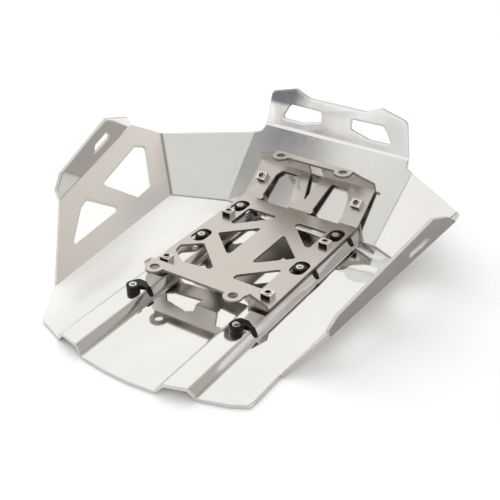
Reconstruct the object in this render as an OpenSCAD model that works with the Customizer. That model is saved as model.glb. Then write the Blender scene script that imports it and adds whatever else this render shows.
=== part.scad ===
/* [Skid pan] */
// Thickness of the aluminium sheet of the pan
sheet_t = 4; // [3:0.5:5]
// Length of the flat floor, from its rear tip to the fold of the front panel
floor_len = 363; // [350:1:376]
// Width of the floor at its rear; the wings, the front panel and the shield keep to it
floor_w = 283.8; // [274.8:0.6:292.8]
// Lift of the left wing above the floor, in degrees
left_slope = 50.6; // [46:0.5:56]
// Lift of the right wing above the floor, in degrees
right_slope = 53.2; // [50:0.5:56]
// Lift of the front panel above the floor, in degrees
front_slope = 40.5; // [38:0.5:43]
// Height of the top fold of the front panel above the floor
guard_rise = 80; // [76:1:86]
// Height of the upright shield above the front panel
shield_h = 57.6; // [54:0.5:62]

/* [Ribs] */
// Distance between the centre lines of the two ribs
rib_pitch = 140.8; // [136:0.4:144]
// Height of a rib above the floor
rib_h = 10.4; // [9.4:0.2:11.4]
// Width of a rib at its flat top
rib_top_w = 27; // [25:0.5:29]
// Width of a rib where it meets the floor
rib_base_w = 46; // [43:0.5:49]

/* [Engine bracket] */
// Thickness of the stainless sheet of the bracket
bracket_t = 3; // [2:0.5:3.5]
// Full width of the bracket
bracket_w = 168.4; // [164:0.4:174]
// Clear height of the bracket above the rib tops
bracket_gap = 3.1; // [2.6:0.1:4]
// Diameter of the engine bolt holes in the four ears
ear_hole_d = 11.2; // [8:0.4:12.4]
// Radius of the ears
ear_r = 11.1; // [10.2:0.3:12]
// Rise of the rear engine ears above the bracket floor
rear_ear_rise = 20.9; // [17:0.5:24]

/* [Mounts and nuts] */
// Outer diameter of a rubber mount
mount_d = 15.5; // [14:0.5:17]
// Height of a rubber mount above its rib
mount_h = 7.8; // [7:0.2:9]
// Bore of the threaded steel inserts
insert_bore = 5; // [4:0.5:6]
// Thread bore of the caged nuts
nut_bore = 6.8; // [5:0.2:8]
// Width of a caged nut
nut_w = 11; // [10:0.5:11.5]
// Diameter of the bolt holes under the caged nuts
nut_hole_d = 9; // [8:0.2:9.6]

/* [Hidden] */
$fn = 32;

// Fixed lines of the pan: Y runs to the front of the motorcycle, X to its right as photographed
front_y = 132.2;
tail_y = front_y - floor_len;
rib_x = rib_pitch / 2;
rib_z = sheet_t + rib_h;
wx = floor_w / 283.8;
k_x = 111.3 * wx;
KL = [-k_x, front_y, sheet_t];
JL = [-184.4 * wx, 104.6, sheet_t];
FL = [-161.7 * wx, tail_y + 85.2, sheet_t];
// The right side is built in mirror image, so its X values are negative too
JR = [-152.9 * wx, 113.8, sheet_t];
FR = [-floor_w / 2, tail_y + 91.6, sheet_t];
t_up = 106.4;
T = [-119.1 * wx, front_y + t_up * cos(front_slope), sheet_t + t_up * sin(front_slope)];
fold_up = guard_rise / sin(front_slope);
top_x = 106.5 * wx;
top_y = front_y + guard_rise / tan(front_slope);
top_z = sheet_t + guard_rise;
seam_rise = 59.5;

// Stations along the ribs
mount_y = [-113.1, 18.8, 104.9];
nut_y = [-50.6, 78.3];

// Bracket profile, all on the upper face of its sheet
br_z = rib_z + bracket_gap + bracket_t;
br_w = bracket_w / 2;
a_y = -69.6;
d_y = front_y + 4.3;
up_slope = front_slope - 4.1;
up_len = 55.3;
nut_up = 0.53 * up_len;
c_y = d_y + up_len * cos(up_slope);
c_z = br_z + up_len * sin(up_slope);
b_y = a_y - 11.9;
b_z = br_z + rear_ear_rise;
rear_len = norm([11.9, rear_ear_rise]);
wall_len = 20.6;
wall_slope = 115;
e_y = c_y + wall_len * cos(wall_slope);
e_z = c_z + wall_len * sin(wall_slope);
rear_ear = [53.1, -93.3];
front_ear = [45.4, e_y - 7];
slot_r = 9.5;
slot_half = 5.7;

function unit(v) = v / norm(v);
// Each sheet runs on a little past a fold, inside the next one, so that the two join in a mitre
function bend_out(th, ang) = 0.8 * th * tan(ang / 2);

// Rounds the corners of an outline with short arcs
function rounded(p, r, n = 3) = [for (i = [0 : len(p) - 1])
  let (a = p[(i + len(p) - 1) % len(p)], b = p[i], c = p[(i + 1) % len(p)],
    u = unit(a - b), v = unit(c - b), g = acos(max(-1, min(1, u * v))) / 2,
    d = min(r / tan(g), 0.45 * norm(a - b), 0.45 * norm(c - b)),
    rr = d * tan(g), o = b + unit(u + v) * rr / sin(g),
    s = b + u * d - o, e = b + v * d - o,
    a0 = atan2(s.y, s.x), da = (atan2(e.y, e.x) - a0 + 540) % 360 - 180)
  for (k = [0 : n]) o + rr * [cos(a0 + da * k / n), sin(a0 + da * k / n)]];

// Puts its children on the plane through P with local X along U and local Y along V
module lay(P, U, V) {
  N = cross(U, V);
  translate(P) rotate([atan2(V.z, N.z), -asin(U.z), atan2(U.y, U.x)]) children();
}

// Sheet of thickness th below the plane through P, A and B, with P to A as local X
module sheet(P, A, B, th) {
  U = unit(A - P);
  N = unit(cross(U, B - P));
  lay(P, U, cross(N, U)) translate([0, 0, -th]) linear_extrude(th) children();
}
function on_sheet(P, A, B, q) = let (U = unit(A - P), N = unit(cross(U, B - P)), V = cross(N, U))
  [(q - P) * U, (q - P) * V];

// Upper end of the welded corner between a wing and its corner panel
function wing_up(F, J, slope) = let (U = unit(J - F)) [-U.y * cos(slope), U.x * cos(slope), sin(slope)];
function seam_top(F, J, slope) = let (
    nw = cross(J - F, wing_up(F, J, slope)), nc = cross(KL - J, T - J), d = cross(nw, nc))
  J + d * seam_rise / d.z;

function widen(p) = [for (q = p) [q.x * wx, q.y]];
floor_edge = widen([[-127.5, tail_y + 29.6], [-92.1, tail_y + 16], [-45, tail_y + 4.7],
  [-16.3, tail_y + 1.2], [16.5, tail_y], [45.8, tail_y + 2.5], [92.1, tail_y + 16.6],
  [122.5, tail_y + 25.8], [140.5, tail_y + 35.5], [141.9, tail_y + 44]]);

// The floor runs on a little past its folds with the wings, F to J
function past_fold(F, J, slope, s) = let (U = unit(J - F), o = [-U.y, U.x, 0] * bend_out(sheet_t, slope))
  [for (q = [F + U * 0.7 + o, J - U * 0.7 + o]) [s * q.x, q.y]];
module floor_outline() {
  r = past_fold(FR, JR, right_slope, -1);
  l = past_fold(FL, JL, left_slope, 1);
  polygon(concat(floor_edge, [[-FR.x, FR.y], r[0], r[1], [-JR.x, JR.y], [k_x, front_y], [-k_x, front_y],
    [JL.x, JL.y], l[1], l[0], [FL.x, FL.y]]));
}

// Cross-section of a rib, drawn in X and Z
module rib_section(inner) {
  run = (rib_base_w - rib_top_w) / 2;
  g = atan2(rib_h, run);
  s = inner ? sheet_t / sin(g) : 0;
  k = run / rib_h;
  top = inner ? rib_h : rib_z;
  lo = inner ? -1 : sheet_t / 2;
  function w(z) = rib_base_w / 2 - s - (z - sheet_t) * k;
  r = inner ? 1 : 3.5;
  body = rounded([[w(top), top], [-w(top), top], [-w(lo), lo], [w(lo), lo]], r);
  intersection() {
    polygon(body);
    translate([-40, inner ? -1 : sheet_t / 2 + 0.6]) square([80, 40]);
  }
  if (inner) polygon([[-w(0), -1], [w(0), -1], [w(0), 0], [w(2), 2], [-w(2), 2], [-w(0), 0]]);
}
module rib_prism(inner, y1) {
  for (s = [-1, 1]) translate([s * rib_x, y1, 0]) rotate([90, 0, 0])
    linear_extrude(y1 - tail_y + 4) rib_section(inner);
}

// Space in front of the inner face of the front panel
module beyond_front() {
  translate([0, front_y, sheet_t - 0.4]) rotate([front_slope, 0, 0])
    translate([-rib_pitch, -60, -120]) cube([2 * rib_pitch, 240, 120]);
}

// A wing with its windows, its upright flange and the hand slot, for the left side
module wing(F, J, slope, S, E, wins, fl, slot) {
  C = seam_top(F, J, slope);
  L = norm(J - F);
  B = F + wing_up(F, J, slope);
  U = unit(J - F);
  V = wing_up(F, J, slope);
  k = L / 252;
  e = bend_out(sheet_t, slope);
  c = on_sheet(F, J, B, C);
  s3 = F + U * S.x * k + V * S.y;
  e3 = F + U * (L + E.x) + V * E.y;
  D = unit([L + E.x - S.x * k, E.y - S.y]);
  q = bend_out(sheet_t, 90 - slope);
  up = [-D.y, D.x] * q;
  sheet(F, J, B, sheet_t) difference() {
    polygon([[0.5, -e], [L - 0.5, -e], c - [0.4, 0], [L + E.x - 0.3, E.y], [L + E.x, E.y] - D * 0.8 + up,
      [S.x * k, S.y] + D * 0.8 + up, [S.x * k + 0.3, S.y]]);
    for (w = wins) polygon(rounded([for (q = w) [q.x * k, q.y]], 3));
  }
  // flange, upright along the upper fold
  H = unit([e3.x - s3.x, e3.y - s3.y, 0]);
  m = norm([e3.x - s3.x, e3.y - s3.y]);
  g = e3.z - s3.z;
  kk = m / fl[0].x;
  low = [g, -m] / norm([m, g]) * q;
  lay(s3, H, [0, 0, 1]) translate([0, 0, -sheet_t]) linear_extrude(sheet_t) difference() {
    polygon(concat([[0.6, 0.1] + low, [m - 0.6, g - 0.1] + low, [m - 0.1, g]],
      [for (i = [1 : len(fl) - 1]) [fl[i].x * kk, fl[i].y]], [[0.1, 0]]));
    polygon(rounded([for (p = slot) [p.x * kk, p.y]], 2.5));
  }
}

module tray() color("gainsboro") difference() {
  union() {
    linear_extrude(sheet_t) floor_outline();
    difference() {
      intersection() {
        rib_prism(false, front_y + 14);
        translate([0, 0, -1]) linear_extrude(60) union() {
          polygon(floor_edge);
          translate([-120, tail_y + 16]) square([240, floor_len]);
          polygon(widen([[-92.1, tail_y + 16], [-45, tail_y + 4.7], [-16, tail_y + 1.2], [46, tail_y + 2.5],
            [92.1, tail_y + 16.6], [92, tail_y + 40], [-92, tail_y + 40]]));
        }
      }
      beyond_front();
    }
    wing(FL, JL, left_slope, [84.5, 79], [16.2, 108.9],
      [[[157.8, 65], [249.8, 81.8], [266, 73.1], [231.2, 26.7], [196.5, 24.9]],
       [[120.9, 60.4], [160.1, 27.3], [61.7, 24.9], [62.2, 28.3], [104.5, 56.6]]],
      [[184.1, 23.1], [174.8, 38.4], [123, 57.1], [10.9, 31.5], [-4.1, 14.2]],
      [[84.5, 22.5], [90.3, 33.7], [117.5, 38.9], [131.5, 30]]);
    mirror([1, 0, 0]) wing(FR, JR, right_slope, [40.6, 46.2], [1.7, 99.4],
      [[[150, 58], [236, 78], [253, 70], [226, 27], [192, 25]],
       [[106, 49], [150, 27], [58, 24], [58, 28], [86, 42]]],
      [[216.7, 42.1], [200.8, 53.8], [169.7, 63.7], [12.8, 19.7], [-2, 8.6]],
      [[129.7, 31.8], [130.3, 40.4], [157.9, 45.2], [170.5, 39]]);
  }
  rib_prism(true, front_y - 8);
  for (s = [-1, 1]) {
    for (y = mount_y) translate([s * rib_x, y, 0]) cylinder(h = 40, d = 12);
    for (y = nut_y) translate([s * rib_x, y, 0]) cylinder(h = 40, d = nut_hole_d);
  }
}

module corner_panel(F, J, slope) {
  C = seam_top(F, J, slope);
  n1 = unit(cross(KL - J, T - J));
  e = bend_out(sheet_t, acos(n1.z));
  n2 = [0, -sin(front_slope), cos(front_slope)];
  e2 = bend_out(sheet_t, acos(n1 * n2));
  n3 = unit(cross(J - F, wing_up(F, J, slope)));
  e3 = bend_out(sheet_t, acos(abs(n1 * n3)));
  k = on_sheet(J, KL, T, KL);
  t = on_sheet(J, KL, T, T);
  c = on_sheet(J, KL, T, C);
  o2 = [(t - k).y, -(t - k).x] / norm(t - k);
  o3 = [-c.y, c.x] / norm(c);
  d2 = unit(t - k);
  d3 = unit(c);
  sheet(J, KL, T, sheet_t) polygon([[0.6, -e], [k.x - 0.6, -e], k + d2 * 0.6 + o2 * e2, t - d2 * 1.5 + o2 * e2,
    t - d2 * 0.3, c + [0.3, 0.2], c - d3 * 1.2 + o3 * e3, d3 * 1.2 + o3 * e3]);
  // weld bead in the corner
  d = unit(C - J);
  lay(J + d * 1.5, d, unit(cross(n1, d))) rotate([0, 90, 0]) cylinder(h = norm(C - J) - 3, r = 1.7, $fn = 12);
}

module front_guard() color("silver") difference() {
  // it stands a hair lower than the floor, so that its folds clear the edges of the pan
  translate([0, 0, -0.06]) union() {
    e = bend_out(sheet_t, front_slope);
    n1 = unit(cross(KL - JL, T - JL));
    e2 = bend_out(sheet_t, acos(n1 * [0, -sin(front_slope), cos(front_slope)]));
    e3 = bend_out(sheet_t, 85.6 - front_slope);
    half = [[k_x - 0.5, -e], [k_x + e2, 1], [e2 - T.x, t_up - 1.6], [-T.x - 0.2, t_up + 0.4], [top_x + 3, t_up + 5],
      [top_x, fold_up - 0.3], [top_x - 1.2, fold_up + e3]];
    sheet(KL, [k_x, front_y, sheet_t], [0, top_y, top_z], sheet_t) translate([k_x, 0]) difference() {
      polygon(concat(half, [for (i = [6 : -1 : 0]) [-half[i].x, half[i].y]]));
      for (s = [-1, 1]) translate([s * rib_x, (d_y - front_y + (nut_up + 5) * cos(up_slope)) / cos(front_slope)])
        circle(d = nut_hole_d);
    }
    // upright shield with its two windows
    hs = shield_h / 57.6;
    side = [[top_x - 1.2, -e3], [top_x - 0.3, 0.4], [top_x - 7, 44 * hs], [top_x - 11, 48.5 * hs],
      [62.5 * wx, 57.6 * hs], [41.4 * wx, 48.5 * hs]];
    lay([0, top_y, top_z], [1, 0, 0], unit([0, 0.077, 1])) translate([0, 0, -sheet_t]) linear_extrude(sheet_t)
      difference() {
        polygon(concat(side, [for (i = [5 : -1 : 0]) [-side[i].x, side[i].y]]));
        for (s = [-1, 1]) polygon(rounded([for (q = [[22, 34.2], [22, 19.9], [49.7, 12.2], [81.8, 12.5],
          [72, 30.4], [67, 35.1]]) [s * q.x * wx, q.y]], 3));
      }
    corner_panel(FL, JL, left_slope);
    mirror([1, 0, 0]) corner_panel(FR, JR, right_slope);
  }
  tray();
  translate([-floor_len, -floor_len, -20]) cube([2 * floor_len, 2 * floor_len, 20]);
}

module obround(x, y) {
  translate([x, y - slot_half]) circle(r = slot_r);
  translate([x, y + slot_half]) circle(r = slot_r);
  translate([x - slot_r, y - slot_half]) square([2 * slot_r, 2 * slot_half]);
}

module engine_bracket() color("rosybrown") {
  th = bracket_t;
  eA = bend_out(th, atan2(rear_ear_rise, 11.9));
  eD = bend_out(th, up_slope);
  eC = bend_out(th, wall_slope - up_slope);
  w = br_w - 0.1;
  // bracket floor
  translate([0, 0, br_z - th]) linear_extrude(th) difference() {
    translate([-br_w, a_y - eA]) square([2 * br_w, d_y + eD - a_y + eA]);
    for (s = [-1, 1]) {
      for (i = [1, 2]) obround(s * rib_x, mount_y[i]);
      for (y = nut_y) translate([s * rib_x, y]) circle(d = nut_hole_d);
      polygon(rounded([[s * 16.2, -3.3], [s * 16.2, 69.5], [s * 18.8, 70.5], [s * 56, 34]], 3));
      polygon(rounded([[s * 15, 100.5], [s * 17.5, 107], [s * 57, 107], [s * 57.5, 63.5], [s * 51.5, 62.5]], 3));
      polygon([[s * 14, d_y - 4], [s * 59.4, d_y - 3.5], [s * 59.4, d_y + 9], [s * 14.6, d_y + 9]]);
    }
    polygon(rounded([[15.7, -40.7], [16.2, -32.5], [55.7, 7], [56.3, -40.7]], 3));
    polygon(rounded([[-75.7, -27], [-78, -13.6], [-55.9, 4.6], [-16.4, -32.6], [-16.4, -39], [-53.1, -43]], 3));
    for (s = [-1, 1]) polygon([[s * 57.4, a_y - 4], [s * 57.4, a_y + 1], [s * 50.4, a_y + 6], [s * 13, a_y + 10],
      [s * 14.5, a_y - 4]]);
  }
  // rear wall rising to the rear ears
  sheet([br_w, a_y, br_z], [-br_w, a_y, br_z], [0, b_y, b_z], th) translate([br_w, 0]) difference() {
    polygon([[-w, -eA], [w, -eA], [w, 8], [68.2, rear_len - 0.3], [-68.2, rear_len - 0.3], [-w, 8]]);
    polygon([[57.6, -4], [57.6, 1], [55, 6.5], [28.6, 11], [15.4, 7], [14.3, -4]]);
    polygon([[-57.6, -4], [-60, 1], [-55, 11], [-17, 14.5], [-15, 0], [-14.3, -4]]);
  }
  // strip with the rear ears
  translate([0, 0, b_z - th]) linear_extrude(th) ear_strip(rear_ear, b_y + 1.6, 68, rear_ear.y);
  // part that climbs along the front panel
  sheet([-br_w, d_y, br_z], [br_w, d_y, br_z], [0, c_y, c_z], th) translate([br_w, 0]) difference() {
    translate([-w, -eD]) square([2 * w, up_len + eC + eD]);
    for (s = [-1, 1]) {
      polygon(concat([[s * 14.8, -4]], rounded([[s * 16.4, 4], [s * 25.5, 47.5], [s * 47.5, 47.5], [s * 54.4, 39],
        [s * 59, 4]], 2.5), [[s * 59.2, -4]]));
      translate([s * rib_x, nut_up]) circle(d = nut_hole_d);
    }
    polygon([[-0.9, 17], [0.9, 17], [9.2, up_len], [9.2, up_len + 4], [-9.4, up_len + 4], [-9.4, up_len]]);
  }
  // front wall rising to the front ears
  sheet([-br_w, c_y, c_z], [br_w, c_y, c_z], [0, e_y, e_z], th) translate([br_w, 0]) difference() {
    polygon([[-w + 0.1, -eC], [w - 0.1, -eC], [w - 0.1, 10.6], [66, 17], [57, wall_len + 1], [-57, wall_len + 1],
      [-66, 17], [-w + 0.1, 10.6]]);
    translate([-9.6, -4]) square([19, 20.5]);
  }
  // strip with the front ears, over the top of the front wall
  translate([0, 0, e_z]) linear_extrude(th) ear_strip(front_ear, e_y + 3.1, 57, front_ear.y - 0.8);
}

module ear_strip(ear, y1, half, y0) difference() {
  union() {
    polygon([[-half, y1], [half, y1], [ear.x + ear_r - 1, y0 + 3], [ear.x, y0], [-ear.x, y0], [-ear.x - ear_r + 1, y0 + 3]]);
    for (s = [-1, 1]) translate([s * ear.x, ear.y]) circle(r = ear_r);
  }
  for (s = [-1, 1]) translate([s * ear.x, ear.y]) circle(d = ear_hole_d);
}

// Where the six caged nuts stand: on the bracket floor, and on its climbing part
module at_nut(i) {
  s = i % 2 == 0 ? -1 : 1;
  j = floor(i / 2);
  if (j < 2) translate([s * rib_x, nut_y[j], br_z]) children();
  else lay([s * rib_x, d_y + nut_up * cos(up_slope), br_z + nut_up * sin(up_slope)], [1, 0, 0],
    [0, cos(up_slope), sin(up_slope)]) translate([0, 0, 0.002]) children();
}
// Folded spring cage, open at both ends
module cage(i) color("silver") at_nut(i) difference() {
  w = nut_w + 2.4;
  translate([-w / 2, -5.5, 0]) cube([w, 11, 6.4]);
  translate([-w / 2 + 0.9, -10, -1]) cube([w - 1.8, 20, 6.5]);
  cylinder(h = 20, d = nut_bore + 2.6);
}
module nut(i) color("lightgray") at_nut(i) difference() {
  union() {
    translate([-nut_w / 2, -nut_w / 2, 0]) cube([nut_w, nut_w, 5]);
    cylinder(h = 7.6, d = nut_bore + 2);
  }
  translate([0, 0, -1]) cylinder(h = 20, d = nut_bore);
}

module at_mount(i) {
  s = i % 2 == 0 ? -1 : 1;
  translate([s * rib_x, mount_y[floor(i / 2)], rib_z]) children();
}
// Rubber mount with the lip that hangs over the edge of the rib
module mount(i) color("dimgray") {
  run = (rib_base_w - rib_top_w) / 2;
  f = norm([run, rib_h]);
  at_mount(i) difference() {
    union() {
      cylinder(h = mount_h, d = mount_d);
      translate([0, 0, -sheet_t]) cylinder(h = sheet_t + 0.5, d = 12);
      translate([0, 0, -sheet_t - 2]) cylinder(h = 2, d = 17);
      linear_extrude(2.6) polygon(rounded([[-6, 3], [-11, 12], [-6, 18.5], [4, 18.5], [rib_top_w / 2 - 1, 13],
        [rib_top_w / 2 - 1, 7], [9, 9], [5, 8], [2, 4]], 2));
      difference() {
        translate([rib_top_w / 2 - 1.5, 7, -0.1]) rotate([-90, 0, 0]) cylinder(h = 6, r = 2.7, $fn = 24);
        translate([rib_top_w / 2 - 8, 0, -10]) cube([8, 20, 10]);
        lay([rib_top_w / 2, 0, 0], [0, 1, 0], [-run / f, 0, rib_h / f]) translate([0, -20, -8]) cube([20, 40, 8]);
      }
      lay([rib_top_w / 2, 0, 0], [0, 1, 0], [-run / f, 0, rib_h / f]) linear_extrude(2.4)
        polygon([[7.2, 0.6], [12.8, 0.6], [11.4, -5], [9.2, -9.5], [8, -9.5], [7.6, -5]]);
    }
    translate([0, 0, -20]) cylinder(h = 60, d = 9);
  }
}
// Threaded steel insert inside a rubber mount
module insert(i) color("whitesmoke") at_mount(i) difference() {
  translate([0, 0, -sheet_t - 2]) cylinder(h = sheet_t + 2 + mount_h + 0.4, d = 9);
  translate([0, 0, -20]) cylinder(h = 60, d = insert_bore);
}

tray();
front_guard();
engine_bracket();
cage(0);  // cage_1
cage(1);  // cage_2
cage(2);  // cage_3
cage(3);  // cage_4
cage(4);  // cage_5
cage(5);  // cage_6
nut(0);  // nut_1
nut(1);  // nut_2
nut(2);  // nut_3
nut(3);  // nut_4
nut(4);  // nut_5
nut(5);  // nut_6
mount(0);  // mount_1
mount(1);  // mount_2
mount(2);  // mount_3
mount(3);  // mount_4
mount(4);  // mount_5
mount(5);  // mount_6
insert(0);  // insert_1
insert(1);  // insert_2
insert(2);  // insert_3
insert(3);  // insert_4
insert(4);  // insert_5
insert(5);  // insert_6
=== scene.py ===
import math

import bmesh
import bpy
from mathutils import Matrix, Vector
from mathutils.noise import noise as hash_noise


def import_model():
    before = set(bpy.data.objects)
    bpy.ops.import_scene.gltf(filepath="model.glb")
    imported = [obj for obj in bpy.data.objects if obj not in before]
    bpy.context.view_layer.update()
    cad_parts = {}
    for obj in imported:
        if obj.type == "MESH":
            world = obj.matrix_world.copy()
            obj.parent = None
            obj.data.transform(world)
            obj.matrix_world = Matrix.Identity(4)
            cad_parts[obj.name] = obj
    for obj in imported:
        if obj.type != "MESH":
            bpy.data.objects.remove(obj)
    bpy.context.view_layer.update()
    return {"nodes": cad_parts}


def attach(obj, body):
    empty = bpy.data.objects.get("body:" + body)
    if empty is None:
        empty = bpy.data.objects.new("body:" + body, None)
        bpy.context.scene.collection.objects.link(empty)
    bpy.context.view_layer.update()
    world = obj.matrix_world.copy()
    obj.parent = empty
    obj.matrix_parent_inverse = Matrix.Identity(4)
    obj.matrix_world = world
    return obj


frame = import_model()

scene = bpy.context.scene

# The camera, fitted to the photograph
CAMERA_AT = (0.5016, -0.7361, 0.5871)
AZIMUTH = math.radians(33.53)
ELEVATION = math.radians(31.96)
ROLL = math.radians(-0.55)
PHOTO_PIXELS = 500
FOCAL_PIXELS = 892
SENSOR_MM = 36

# Slopes of the plate: the front panel, the rising part of the bracket, and the lean of the shield
PANEL_SLOPE = math.radians(40.5)
RISE_SLOPE = math.radians(36.4)
SHIELD_LEAN = 0.077

# Where the wings meet the corner panels, and how far from there a face counts as weld
SEAMS = ((Vector((-0.1844, 0.1046, 0.004)), Vector((-0.2382, 0.1565, 0.0635))),
         (Vector((0.1529, 0.1138, 0.004)), Vector((0.1997, 0.1657, 0.0635))))
SEAM_REACH = 0.0026

# Grain of the rolled sheet, in lines to the metre along x, y and z
ROLLING = (420, 6, 420)
LINE_DEPTH = 0.00004
WAVE_DEPTH = 0.0006
PIT_DEPTH = 0.00003

# The floor: x from where it is dull outside the left rib to where it is bright, and its dent
DULL_STRIP = (-0.145, -0.1)
DENT_AT = (0.125, 0.07, 0.004)
DENT_REACH = (0.02, 0.085)
DENT_DEPTH = 0.004

# The shield: x from its mirror-like left to its pale right, and the edges of its blue-grey patch, a dark
# reflection painted into its colour at its upper left
PALE_FROM_TO = (-0.05, 0.04)
PAINTED_REFLECTION_X = (-0.052, -0.03)
PAINTED_REFLECTION_Z = (0.113, 0.119)
PAINTED_REFLECTION_RAGGED = 0.024
PAINTED_REFLECTION_TONE = (0.20, 0.22, 0.25)

# Weld beads, in millimetres: the centre line of each rib, and a bead's way up one side of it
RIB_X = 70.4
RIB_BEAD = ((25.1, 132.2, 4.6), (22.6, 133.4, 5.4), (15.5, 142.0, 12.9), (9.1, 150.2, 19.6))
BEAD_STEP = 0.0011
BEAD_SIDES = 12

# The room that the sheets mirror: its tone, and patches by azimuth and elevation, with their inner
# and outer half width in degrees and their own tone
ROOM = (0.56, 0.54, 0.51)
PATCHES = ((75, 30, 42, 78, (0.49, 0.455, 0.42)),
           (15, 20, 14, 27, (0.83, 0.79, 0.735)),
           (180, 68, 25, 48, (0.61, 0.605, 0.595)),
           (-145, 62, 11, 19, (0.76, 0.755, 0.72)),
           (-150, 10, 20, 45, (0.95, 0.94, 0.92)),
           (-68, 33, 38, 54, (1.02, 1.0, 0.965)),
           (-122.3, 54.4, 3.2, 5.2, (0.41, 0.405, 0.395)),
           (-122.4, 57.4, 1.0, 2.5, (0.235, 0.235, 0.235)))

GROUND_SIZE = 3.6
GROUND_GAP = 0.0004


def camera():
    flat = math.cos(ELEVATION)
    back = Vector((math.sin(AZIMUTH) * flat, -math.cos(AZIMUTH) * flat, math.sin(ELEVATION)))
    level = Vector((math.cos(AZIMUTH), math.sin(AZIMUTH), 0))
    above = back.cross(level)
    right = math.cos(ROLL) * level + math.sin(ROLL) * above
    up = -math.sin(ROLL) * level + math.cos(ROLL) * above
    cam = bpy.data.objects.new("camera", bpy.data.cameras.new("camera"))
    scene.collection.objects.link(cam)
    view = Matrix((right, up, back)).transposed().to_4x4()
    view.translation = Vector(CAMERA_AT)
    cam.matrix_world = view
    cam.data.sensor_width = SENSOR_MM
    cam.data.lens = FOCAL_PIXELS / PHOTO_PIXELS * SENSOR_MM
    cam.data.clip_start = 0.01
    cam.data.clip_end = 50
    scene.camera = cam


camera()


# Helpers for material nodes
def new_material(name):
    material = bpy.data.materials.new(name)
    material.use_nodes = True
    tree = material.node_tree
    tree.nodes.clear()
    output = tree.nodes.new("ShaderNodeOutputMaterial")
    shader = tree.nodes.new("ShaderNodeBsdfPrincipled")
    tree.links.new(shader.outputs[0], output.inputs[0])
    return material, tree, shader


def coords(tree, scale=(1, 1, 1)):
    texture = tree.nodes.new("ShaderNodeTexCoord")
    mapping = tree.nodes.new("ShaderNodeMapping")
    mapping.inputs["Scale"].default_value = scale
    tree.links.new(texture.outputs["Object"], mapping.inputs[0])
    return mapping.outputs[0]


def places(tree):
    """The x, y and z of each point of the object."""
    split = tree.nodes.new("ShaderNodeSeparateXYZ")
    tree.links.new(coords(tree), split.inputs[0])
    return split.outputs


def noise(tree, vector, scale, detail=3.0, rough=0.5, distortion=0.0):
    node = tree.nodes.new("ShaderNodeTexNoise")
    node.inputs["Scale"].default_value = scale
    node.inputs["Detail"].default_value = detail
    node.inputs["Roughness"].default_value = rough
    node.inputs["Distortion"].default_value = distortion
    tree.links.new(vector, node.inputs["Vector"])
    return node.outputs["Fac"]


def spread(tree, value, low, high, start=0.3, end=0.7):
    """Turn a value that goes from start to end, by default a noise's, into one from low to high."""
    node = tree.nodes.new("ShaderNodeMapRange")
    node.inputs["From Min"].default_value = start
    node.inputs["From Max"].default_value = end
    node.inputs["To Min"].default_value = low
    node.inputs["To Max"].default_value = high
    tree.links.new(value, node.inputs["Value"])
    return node.outputs[0]


def feed(tree, socket, value):
    """Give a socket a number, a colour or the output of another node."""
    if isinstance(value, (int, float)):
        socket.default_value = value
    elif isinstance(value, tuple):
        socket.default_value = (*value, 1)
    else:
        tree.links.new(value, socket)


def mix_color(tree, factor, first, second):
    node = tree.nodes.new("ShaderNodeMix")
    node.data_type = "RGBA"
    feed(tree, node.inputs[0], factor)
    feed(tree, node.inputs[6], first)
    feed(tree, node.inputs[7], second)
    return node.outputs[2]


def maths(tree, operation, first, second):
    node = tree.nodes.new("ShaderNodeMath")
    node.operation = operation
    feed(tree, node.inputs[0], first)
    feed(tree, node.inputs[1], second)
    return node.outputs[0]


def bump(tree, shader, height, strength, distance, before=None):
    node = tree.nodes.new("ShaderNodeBump")
    node.inputs["Strength"].default_value = strength
    node.inputs["Distance"].default_value = distance
    tree.links.new(height, node.inputs["Height"])
    if before is not None:
        tree.links.new(before, node.inputs["Normal"])
    tree.links.new(node.outputs[0], shader.inputs["Normal"])
    return node.outputs[0]


def rounded_folds(tree, radius):
    node = tree.nodes.new("ShaderNodeBevel")
    node.samples = 8
    node.inputs["Radius"].default_value = radius
    return node.outputs[0]


def shade(color, share):
    return tuple(value * share for value in color)


# Materials
def dent(tree):
    """A shallow uneven dent of the floor beside the front end of the right rib."""
    away = tree.nodes.new("ShaderNodeVectorMath")
    away.operation = "DISTANCE"
    away.inputs[1].default_value = DENT_AT
    tree.links.new(coords(tree), away.inputs[0])
    near = spread(tree, away.outputs["Value"], 1, 0, *DENT_REACH)
    return maths(tree, "MULTIPLY", near, noise(tree, coords(tree), 13, 1, 0.3))


def aluminium(name, base, rough, grain=0.05, wave=0.35, metal=1.0, is_floor=False, smear=(9, 5, 9),
              line=0.12, fold=0.0):
    """Rolled sheet: line and grain show its rolling lines, smear and wave its smears and waves,
    and fold is the radius that rounds its folds. The floor has a dull strip and a dent too."""
    material, tree, shader = new_material(name)
    shader.inputs["Metallic"].default_value = metal
    streaks = noise(tree, coords(tree, ROLLING), 1.0, 4, 0.6)
    smears = noise(tree, coords(tree, smear), 1.0, 3, 0.55, 0.4)
    pits = noise(tree, coords(tree), 700, 2, 0.5)
    tone = mix_color(tree, spread(tree, smears, 0, 1), shade(base, 0.93), base)
    tone = mix_color(tree, spread(tree, streaks, 0, line), tone, shade(base, 0.72))
    tree.links.new(tone, shader.inputs["Base Color"])
    roughness = maths(tree, "ADD", spread(tree, smears, rough * 0.75, rough * 1.3),
                      spread(tree, streaks, -0.12 * line, 0.25 * line))
    if is_floor:
        x = places(tree)[0]
        tree.links.new(spread(tree, x, 0.5, metal, *DULL_STRIP), shader.inputs["Metallic"])
        roughness = maths(tree, "ADD", roughness, spread(tree, x, 0.3, 0, *DULL_STRIP))
    tree.links.new(roughness, shader.inputs["Roughness"])
    normal = rounded_folds(tree, fold) if fold else None
    normal = bump(tree, shader, streaks, grain, LINE_DEPTH, normal)
    normal = bump(tree, shader, smears, wave, WAVE_DEPTH, normal)
    if is_floor:
        normal = bump(tree, shader, dent(tree), 1.0, DENT_DEPTH, normal)
    bump(tree, shader, pits, 0.3 * line, PIT_DEPTH, normal)
    return material


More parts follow.
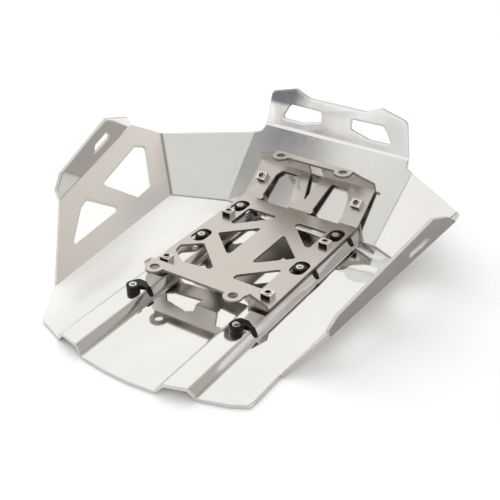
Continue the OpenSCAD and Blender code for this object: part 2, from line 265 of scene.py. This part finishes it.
def shield_sheet():
    """Hand-polished sheet: smeared, paler to the right, with a blue-grey painted reflection at its upper
    left.
    """
    material = aluminium("shield_sheet", (0.955, 0.955, 0.955), 0.14, 0.05, 1.2, line=0.05,
                         smear=(22, 22, 8), fold=0.004)
    tree = material.node_tree
    shader = next(n for n in tree.nodes if n.type == "BSDF_PRINCIPLED")
    x, _, z = places(tree)
    tree.links.new(spread(tree, x, 0.95, 0.25, *PALE_FROM_TO), shader.inputs["Metallic"])
    # Painted reflection: a ragged blue-grey patch mixed into the colour at the upper left stands in for a
    # dark reflection in the polished sheet.
    cloud = noise(tree, coords(tree), 30, 3, 0.5, 0.5)
    ragged = maths(tree, "ADD", x, maths(tree, "MULTIPLY", cloud, PAINTED_REFLECTION_RAGGED))
    painted_reflection = maths(tree, "MULTIPLY", spread(tree, ragged, 0.9, 0, *PAINTED_REFLECTION_X),
                  spread(tree, z, 0, 1, *PAINTED_REFLECTION_Z))
    tone = shader.inputs["Base Color"].links[0].from_socket
    tree.links.new(mix_color(tree, painted_reflection, tone, PAINTED_REFLECTION_TONE), shader.inputs["Base Color"])
    return material


def stainless(name, base, rough, lines=(8, 520, 520), streak=0.1, grain=0.07):
    """Brushed steel: lines is its brushing, in lines to the metre, and streak and grain show it."""
    material, tree, shader = new_material(name)
    shader.inputs["Metallic"].default_value = 1.0
    streaks = noise(tree, coords(tree, lines), 1.0, 5, 0.65)
    stain = noise(tree, coords(tree), 18, 3, 0.5, 0.6)
    tone = mix_color(tree, spread(tree, stain, 0, 1), shade(base, 0.93), base)
    tone = mix_color(tree, spread(tree, streaks, 0, streak), tone, shade(base, 0.6))
    tree.links.new(tone, shader.inputs["Base Color"])
    roughness = maths(tree, "ADD", spread(tree, stain, rough * 0.85, rough * 1.2),
                      spread(tree, streaks, -0.02, 0.03))
    tree.links.new(roughness, shader.inputs["Roughness"])
    normal = bump(tree, shader, streaks, grain, 0.00006)
    bump(tree, shader, stain, 0.06, 0.0003, normal)
    return material


def rubber(name):
    """Black rubber with fine pits and a little dust."""
    material, tree, shader = new_material(name)
    dust = noise(tree, coords(tree), 160, 5, 0.7)
    pits = noise(tree, coords(tree), 1500, 2, 0.5)
    tone = mix_color(tree, spread(tree, dust, 0, 1, 0.45, 0.8), (0.003, 0.003, 0.0035),
                     (0.014, 0.0135, 0.013))
    tree.links.new(tone, shader.inputs["Base Color"])
    tree.links.new(spread(tree, dust, 0.2, 0.36), shader.inputs["Roughness"])
    shader.inputs["Specular IOR Level"].default_value = 0.3
    normal = bump(tree, shader, pits, 0.35, 0.0001)
    bump(tree, shader, dust, 0.15, 0.0003, normal)
    return material


sheet = aluminium("pan_sheet", (0.87, 0.865, 0.86), 0.09, fold=0.004)
floor = aluminium("pan_floor", (0.885, 0.885, 0.88), 0.07, 0.02, is_floor=True, line=0.02, fold=0.0035)
wing = aluminium("pan_wing", (0.92, 0.905, 0.885), 0.27, 0.01, 0.3, metal=0.84, line=0.02, fold=0.0025)
shield = shield_sheet()
# Painted shade: the outer faces of the flanges get a dark copy of the sheet, standing in for the shaded
# ground that they mirror.
outer = aluminium("pan_outer_face_painted_shade", (0.335, 0.318, 0.302), 0.42, 0.2)
cut_edge = aluminium("pan_cut_edge", (0.66, 0.65, 0.635), 0.36, 0.3, 0.1, metal=0.8)
bend = aluminium("shield_bend", (0.95, 0.95, 0.95), 0.2, 0.02, 0.3, metal=0.7, line=0.02)
weld = aluminium("weld_bead", (0.50, 0.49, 0.465), 0.34, 0.3, 2.0)
bracket = stainless("bracket_sheet", (0.675, 0.64, 0.60), 0.31, streak=0.06, grain=0.04)
bracket_edge = stainless("bracket_cut_edge", (0.33, 0.285, 0.245), 0.45, (300, 300, 40))
cage_steel = stainless("cage_steel", (0.86, 0.85, 0.82), 0.16, (300, 60, 300))
nut_steel = stainless("nut_steel", (0.86, 0.85, 0.83), 0.13, (200, 200, 200))
# Painted shade: near black for the low sides of each nut, standing in for the shade inside its cage.
nut_side_painted_shade = stainless("nut_side_painted_shade", (0.02, 0.018, 0.017), 0.45, (200, 200, 200))
insert_steel = stainless("insert_steel", (0.88, 0.87, 0.85), 0.12, (200, 200, 200))
mount_rubber = rubber("mount_rubber")

# Each sheet's materials, by slot
SHEET, EDGE = 0, 1
TRAY = [sheet, cut_edge, outer, wing, floor]
SHADED_OUTER, WING, FLOOR = 2, 3, 4
GUARD = [sheet, cut_edge, shield, weld]
SHIELD, WELD = 2, 3


# The nodes of the CAD model, dressed
def soften(o, width, weighted):
    """Small bevels on the edges; weighted keeps the shading of large thin faces flat."""
    merge = o.modifiers.new("weld", "WELD")
    merge.merge_threshold = 1e-6
    bevel = o.modifiers.new("soft_edges", "BEVEL")
    bevel.width = width
    bevel.segments = 2
    bevel.limit_method = "ANGLE"
    bevel.angle_limit = math.radians(28)
    bevel.use_clamp_overlap = True
    if weighted:
        o.modifiers.new("flat_faces", "WEIGHTED_NORMAL").weight = 90
    else:
        bevel.harden_normals = True


def dress(name, materials, width, pick=None, weighted=False):
    """Give a node its materials, face by face where pick says which, and soft edges."""
    o = frame["nodes"][name]
    o.data.materials.clear()
    for material in materials:
        o.data.materials.append(material)
    for face in o.data.polygons:
        face.material_index = pick(face) if pick else 0
    soften(o, width, weighted)


def broad_normals(o, share):
    """Normals of the broad faces: those that hold more than a share of the whole surface."""
    total, found = 0.0, {}
    for face in o.data.polygons:
        key = tuple(round(v, 2) for v in face.normal)
        found[key] = found.get(key, 0.0) + face.area
        total += face.area
    return [Vector(key).normalized() for key, area in found.items() if area > share * total]


def near_seam(point):
    for a, b in SEAMS:
        along = max(0.0, min(1.0, (point - a).dot(b - a) / (b - a).length_squared))
        if (point - a - along * (b - a)).length < SEAM_REACH:
            return True
    return False


def tray_face(face):
    """Floor, wings, inner faces of the flanges, and outer faces of the flanges, which take the painted
    shade.
    """
    if abs(face.normal.z) > 0.9:
        return FLOOR
    if abs(face.normal.z) < 0.2 and abs(face.center.x) > 0.16:
        return SHADED_OUTER if face.normal.x * face.center.x > 0 else SHEET
    return WING if abs(face.normal.x) > 0.7 and abs(face.center.x) > 0.13 else SHEET


def guard_face(face):
    return SHIELD if abs(face.normal.y) > 0.97 else SHEET


def guard_edge(face):
    return WELD if near_seam(face.center) else EDGE


def dress_sheet(name, materials, width, share, broad=None, edge=None, weighted=False):
    """Dress a folded sheet: its broad faces by one rule, and its cut edges and bores by another."""
    normals = broad_normals(frame["nodes"][name], share)

    def pick(face):
        if not any(face.normal.dot(normal) > 0.998 for normal in normals):
            return edge(face) if edge else EDGE
        return broad(face) if broad else SHEET

    dress(name, materials, width, pick, weighted)


def dress_nut(name, up):
    """A nut's sides below its collar, inside the cage, take a near-black painted shade."""
    low = min(v.co.dot(up) for v in frame["nodes"][name].data.vertices)

    def pick(face):
        return 1 if abs(face.normal.dot(up)) < 0.3 and face.center.dot(up) < low + 0.0048 else 0

    dress(name, [nut_steel, nut_side_painted_shade], 0.0003, pick)


dress_sheet("tray", TRAY, 0.0006, 0.012, tray_face, weighted=True)
dress_sheet("front_guard", GUARD, 0.0006, 0.015, guard_face, guard_edge)
dress_sheet("engine_bracket", [bracket, bracket_edge], 0.00035, 0.024)
for i in range(1, 7):
    on_rise = i > 4
    up = Vector((0, -math.sin(RISE_SLOPE), math.cos(RISE_SLOPE))) if on_rise else Vector((0, 0, 1))
    dress(f"cage_{i}", [cage_steel], 0.0002)
    dress_nut(f"nut_{i}", up)
    dress(f"mount_{i}", [mount_rubber], 0.0004)
    dress(f"insert_{i}", [insert_steel], 0.0003)


# Details of the sheets
def add_piece(name, bm, material):
    mesh = bpy.data.meshes.new(name)
    bm.to_mesh(mesh)
    bm.free()
    o = bpy.data.objects.new(name, mesh)
    scene.collection.objects.link(o)
    mesh.materials.append(material)
    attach(o, "root")


def steps_along(points):
    """Points at about one step from each other along a line through the given ones."""
    line = []
    for a, b in zip(points, points[1:]):
        count = max(2, int((b - a).length / BEAD_STEP))
        line += [a.lerp(b, i / count) for i in range(count)]
    return line + [points[-1]]


def bead(name, points, radius, seed):
    """A lumpy run of weld along a line of points in millimetres."""
    radius /= 1000
    line = steps_along([Vector(point) / 1000 for point in points])
    last = len(line) - 1
    bm = bmesh.new()
    rings = []
    for i, centre in enumerate(line):
        along = (line[min(i + 1, last)] - line[max(i - 1, 0)]).normalized()
        across = along.cross(Vector((0, 0, 1))).normalized()
        over = across.cross(along)
        taper = min(1.0, 0.35 + 0.3 * min(i, last - i))
        ripple = 0.16 * math.sin(2.4 * i + seed)
        lump = 0.3 * hash_noise(centre * 400 + Vector((seed, 0, 0)))
        reach = radius * taper * (1 + ripple + lump)
        turns = [2 * math.pi * k / BEAD_SIDES for k in range(BEAD_SIDES)]
        rings.append([bm.verts.new(centre + reach * (math.cos(turn) * across + math.sin(turn) * over))
                      for turn in turns])
    for a, b in zip(rings, rings[1:]):
        for k in range(BEAD_SIDES):
            after = (k + 1) % BEAD_SIDES
            bm.faces.new((a[k], a[after], b[after], b[k])).smooth = True
    bm.faces.new(rings[0][::-1])
    bm.faces.new(rings[-1])
    add_piece(name, bm, weld)


def fold_strip(name, half, y, z, radius):
    """The round of the bend between the sloped front panel and its upright shield."""
    lower = Vector((0, -math.cos(PANEL_SLOPE), -math.sin(PANEL_SLOPE)))
    upper = Vector((0, SHIELD_LEAN, 1)).normalized()
    turn = lower.angle(upper)
    corner = Vector((0, y, z))
    centre = corner + (lower + upper).normalized() * (radius / math.sin(turn / 2))
    reach = radius / math.tan(turn / 2)
    first = corner + lower * reach - centre
    last = corner + upper * reach - centre
    bm = bmesh.new()
    rows = []
    steps = 12
    for i in range(steps + 1):
        point = centre + first.lerp(last, i / steps).normalized() * radius
        rows.append([bm.verts.new((side * half, point.y, point.z)) for side in (-1, 1)])
    for a, b in zip(rows, rows[1:]):
        bm.faces.new((a[0], a[1], b[1], b[0])).smooth = True
    add_piece(name, bm, bend)


bead("weld_corner_left", [(-96, 132.4, 4.2), (-111.3, 132.2, 4.2), (-184, 104.8, 4.2)], 1.0, 1)
bead("weld_corner_right", [(96, 132.4, 4.2), (111.3, 132.2, 4.2), (152.5, 113.9, 4.2)], 1.2, 2)
bead("weld_front", [(-46, 132.5, 4.2), (46, 132.5, 4.2)], 1.1, 3)
for i, (side, flank) in enumerate(((1, 1), (-1, 1), (1, -1), (-1, -1))):
    bead(f"weld_rib_{i + 1}", [(side * (RIB_X + flank * x), y, z) for x, y, z in RIB_BEAD], 2.2, 5 + i)
fold_strip("shield_bend", half=0.1062, y=0.22587, z=0.08400, radius=0.0065)


# Stage and light
def stage():
    bpy.ops.mesh.primitive_plane_add(size=GROUND_SIZE, location=(0, 0, -GROUND_GAP))
    ground = bpy.context.object
    ground.name = "ground"
    material, tree, shader = new_material("ground_paint")
    tone = mix_color(tree, noise(tree, coords(tree), 3.0), (0.855, 0.86, 0.867), (0.875, 0.88, 0.887))
    tree.links.new(tone, shader.inputs["Base Color"])
    shader.inputs["Roughness"].default_value = 0.9
    ground.data.materials.append(material)


def lamp(name, at, to, size, power):
    """A square soft light that no sheet mirrors."""
    light = bpy.data.lights.new(name, "AREA")
    light.shape = "RECTANGLE"
    light.size = size
    light.size_y = size
    light.energy = power
    o = bpy.data.objects.new(name, light)
    scene.collection.objects.link(o)
    o.location = at
    o.rotation_mode = "QUATERNION"
    o.rotation_quaternion = (Vector(to) - Vector(at)).to_track_quat("-Z", "Y")
    o.visible_glossy = False


def toward(azimuth, elevation):
    a, e = math.radians(azimuth), math.radians(elevation)
    return (math.sin(a) * math.cos(e), math.cos(a) * math.cos(e), math.sin(e))


def lobe(tree, direction, azimuth, elevation, inner, outer):
    """1 within the inner half width of a direction, and 0 beyond the outer one."""
    angle = tree.nodes.new("ShaderNodeVectorMath")
    angle.operation = "DOT_PRODUCT"
    angle.inputs[1].default_value = toward(azimuth, elevation)
    tree.links.new(direction, angle.inputs[0])
    fade = tree.nodes.new("ShaderNodeMapRange")
    fade.interpolation_type = "SMOOTHSTEP"
    fade.inputs["From Min"].default_value = math.cos(math.radians(outer))
    fade.inputs["From Max"].default_value = math.cos(math.radians(inner))
    tree.links.new(angle.outputs["Value"], fade.inputs["Value"])
    return fade.outputs[0]


def world():
    """White behind the plate for the camera, and the room for everything that mirrors it."""
    studio = bpy.data.worlds.new("studio")
    scene.world = studio
    studio.use_nodes = True
    tree = studio.node_tree
    tree.nodes.clear()
    output = tree.nodes.new("ShaderNodeOutputWorld")
    room = tree.nodes.new("ShaderNodeBackground")
    seen = tree.nodes.new("ShaderNodeBackground")
    seen.inputs[0].default_value = (1, 1, 1, 1)
    mix = tree.nodes.new("ShaderNodeMixShader")
    path = tree.nodes.new("ShaderNodeLightPath")
    direction = tree.nodes.new("ShaderNodeTexCoord").outputs["Generated"]
    tone = ROOM
    for azimuth, elevation, inner, outer_width, value in PATCHES:
        tone = mix_color(tree, lobe(tree, direction, azimuth, elevation, inner, outer_width), tone, value)
    tree.links.new(tone, room.inputs[0])
    room.inputs[1].default_value = 1.0
    tree.links.new(path.outputs["Is Camera Ray"], mix.inputs[0])
    tree.links.new(room.outputs[0], mix.inputs[1])
    tree.links.new(seen.outputs[0], mix.inputs[2])
    tree.links.new(mix.outputs[0], output.inputs[0])


stage()
lamp("key", (-0.8, 0.8, 1.9), (0, 0, 0), 3.2, 29)
lamp("fill", (1.3, -1.3, 1.8), (0, 0, 0), 1.8, 20)
lamp("side", (-1.1, 0.1, 0.45), (-0.22, 0.03, 0), 0.5, 2.2)
world()
scene.view_settings.view_transform = "Standard"
